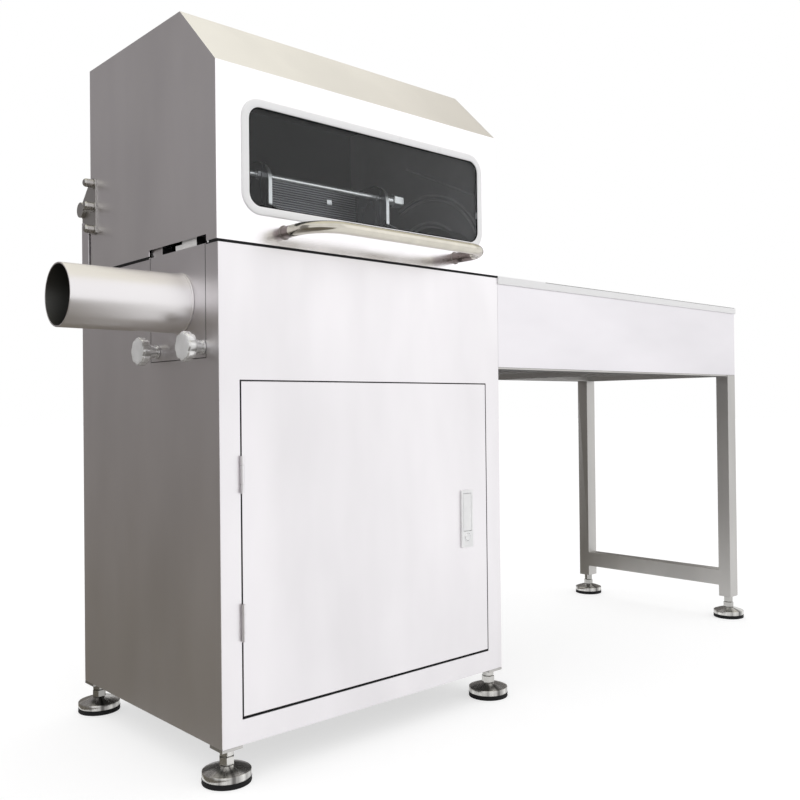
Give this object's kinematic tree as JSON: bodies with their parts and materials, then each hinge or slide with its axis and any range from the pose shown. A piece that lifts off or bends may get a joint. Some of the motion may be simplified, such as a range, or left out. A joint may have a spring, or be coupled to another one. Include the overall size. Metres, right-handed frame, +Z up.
{
  "type": "sausage stuffer",
  "caption": "Floor-standing push-type stuffer: hooded loading chamber on a steel cabinet, side table box with a ram, a stuffing tube and levelling feet.",
  "frame": {"origin": "on the floor under the middle of the bounding box", "axes": "+X to the right along the table, -X out of the stuffing tube, -Y toward the operator and the door, +Z up"},
  "size_m": [2.1968, 0.7438, 1.471],
  "materials": {
    "cabinet_steel": "fine blasted stainless steel sheet",
    "hood_steel": "fine blasted stainless steel sheet",
    "frame_steel": "brushed stainless steel section",
    "tube_steel": "fine brushed stainless steel tube",
    "polished_steel": "polished stainless steel",
    "chamber_steel": "ground stainless steel plate",
    "white_trim": "white food-grade plastic",
    "lock_silver": "satin silver coating",
    "dark_plastic": "black moulded plastic",
    "ram_plastic": "white turned plastic",
    "drive_aluminium": "anodised aluminium",
    "window_glass": "clear pane with a grey tint",
    "foot_rubber": "moulded black rubber"
  },
  "bodies": {
    "root": {"cabinet_shell": "cabinet_steel", "cabinet_frame": "frame_steel", "deck_plate": "chamber_steel", "port_block": "chamber_steel", "loading_trough": "chamber_steel", "left_cheek": "chamber_steel", "right_cheek": "chamber_steel", "tie_rod": "polished_steel", "ram_guard": "chamber_steel", "cylinder_barrel": "drive_aluminium", "cylinder_front_head": "drive_aluminium", "cylinder_rear_head": "drive_aluminium", "cylinder_cradle": "frame_steel", "table_apron": "cabinet_steel", "table_frame": "frame_steel", "table_top": "white_trim", "left_hinge_bracket": "polished_steel", "right_hinge_bracket": "polished_steel", "upper_door_hinge": "polished_steel", "lower_door_hinge": "polished_steel", "valve_block": "dark_plastic", "press_cylinder": "drive_aluminium", "lock_keeper": "frame_steel", "front_left_foot_base": "polished_steel", "front_right_foot_base": "polished_steel", "rear_left_foot_base": "polished_steel", "rear_right_foot_base": "polished_steel", "table_front_foot_base": "polished_steel", "table_rear_foot_base": "polished_steel", "front_left_foot_pad": "foot_rubber", "front_right_foot_pad": "foot_rubber", "rear_left_foot_pad": "foot_rubber", "rear_right_foot_pad": "foot_rubber", "table_front_foot_pad": "foot_rubber", "table_rear_foot_pad": "foot_rubber"},
    "hood": {"hood_shell": "hood_steel", "window_frame": "white_trim", "window_pane": "window_glass", "hood_handle": "polished_steel", "left_hinge_ear": "frame_steel", "right_hinge_ear": "frame_steel"},
    "door": {"door_panel": "cabinet_steel", "lock_housing": "lock_silver"},
    "lock_lever": {"lock_lever": "lock_silver"},
    "lock_button": {"lock_button": "lock_silver"},
    "lock_cam": {"lock_cam": "frame_steel"},
    "tube_unit": {"tube_plate": "cabinet_steel", "stuffing_tube": "tube_steel"},
    "front_knob": {"front_knob": "polished_steel"},
    "rear_knob": {"rear_knob": "polished_steel"},
    "press": {"press_plate": "chamber_steel", "press_shoe": "chamber_steel"},
    "ram": {"ram_rod": "polished_steel", "ram_head": "ram_plastic"},
    "front_left_stem": {"front_left_foot_stem": "polished_steel"},
    "front_right_stem": {"front_right_foot_stem": "polished_steel"},
    "rear_left_stem": {"rear_left_foot_stem": "polished_steel"},
    "rear_right_stem": {"rear_right_foot_stem": "polished_steel"},
    "table_front_stem": {"table_front_foot_stem": "polished_steel"},
    "table_rear_stem": {"table_rear_foot_stem": "polished_steel"}
  },
  "joints": [
    {"name": "hood_hinge", "type": "hinge", "parent": "root", "child": "hood", "pos_m": [-0.4734, 0.3296, 1.156], "axis": [-1, 0, 0], "range_deg": [0, 72]},
    {"name": "door_hinge", "type": "hinge", "parent": "root", "child": "door", "pos_m": [-0.8126, -0.2579, 0.4325], "axis": [0, 0, -1], "range_deg": [0, 110]},
    {"name": "lock_lever_hinge", "type": "hinge", "parent": "door", "child": "lock_lever", "pos_m": [-0.2059, -0.2554, 0.4885], "axis": [-1, 0, 0], "range_deg": [0, 35]},
    {"name": "lock_button_push", "type": "slide", "parent": "door", "child": "lock_button", "axis": [0, 1, 0], "range_m": [0, 0.004], "stiffness_N_per_m": 200, "springref_m": -0.002},
    {"name": "lock_cam_turn", "type": "hinge", "parent": "door", "child": "lock_cam", "pos_m": [-0.2059, -0.2334, 0.392], "axis": [0, -1, 0], "range_deg": [0, 90]},
    {"name": "tube_unit_slide", "type": "slide", "parent": "root", "child": "tube_unit", "axis": [-1, 0, 0], "range_m": [0, 0.12]},
    {"name": "front_knob_turn", "type": "hinge", "parent": "tube_unit", "child": "front_knob", "pos_m": [-0.8584, -0.1954, 0.8105], "axis": [-1, 0, 0], "continuous": true},
    {"name": "rear_knob_turn", "type": "hinge", "parent": "tube_unit", "child": "rear_knob", "pos_m": [-0.8584, -0.0154, 0.8105], "axis": [-1, 0, 0], "continuous": true},
    {"name": "press_slide", "type": "slide", "parent": "root", "child": "press", "axis": [0, 0, -1], "range_m": [0, 0.1], "stiffness_N_per_m": 900, "springref_m": -0.2},
    {"name": "ram_slide", "type": "slide", "parent": "root", "child": "ram", "axis": [-1, 0, 0], "range_m": [0, 0.535]},
    {"name": "front_left_foot_turn", "type": "hinge", "parent": "root", "child": "front_left_stem", "pos_m": [-0.8351, -0.2301, 0.0358], "axis": [0, 0, 1], "continuous": true},
    {"name": "front_right_foot_turn", "type": "hinge", "parent": "root", "child": "front_right_stem", "pos_m": [-0.1117, -0.2301, 0.0358], "axis": [0, 0, 1], "continuous": true},
    {"name": "rear_left_foot_turn", "type": "hinge", "parent": "root", "child": "rear_left_stem", "pos_m": [-0.8351, 0.3253, 0.0358], "axis": [0, 0, 1], "continuous": true},
    {"name": "rear_right_foot_turn", "type": "hinge", "parent": "root", "child": "rear_right_stem", "pos_m": [-0.1117, 0.3253, 0.0358], "axis": [0, 0, 1], "continuous": true},
    {"name": "table_front_foot_turn", "type": "hinge", "parent": "root", "child": "table_front_stem", "pos_m": [1.0518, -0.2329, 0.0358], "axis": [0, 0, 1], "continuous": true},
    {"name": "table_rear_foot_turn", "type": "hinge", "parent": "root", "child": "table_rear_stem", "pos_m": [1.0518, 0.3201, 0.0358], "axis": [0, 0, 1], "continuous": true}
  ]
}
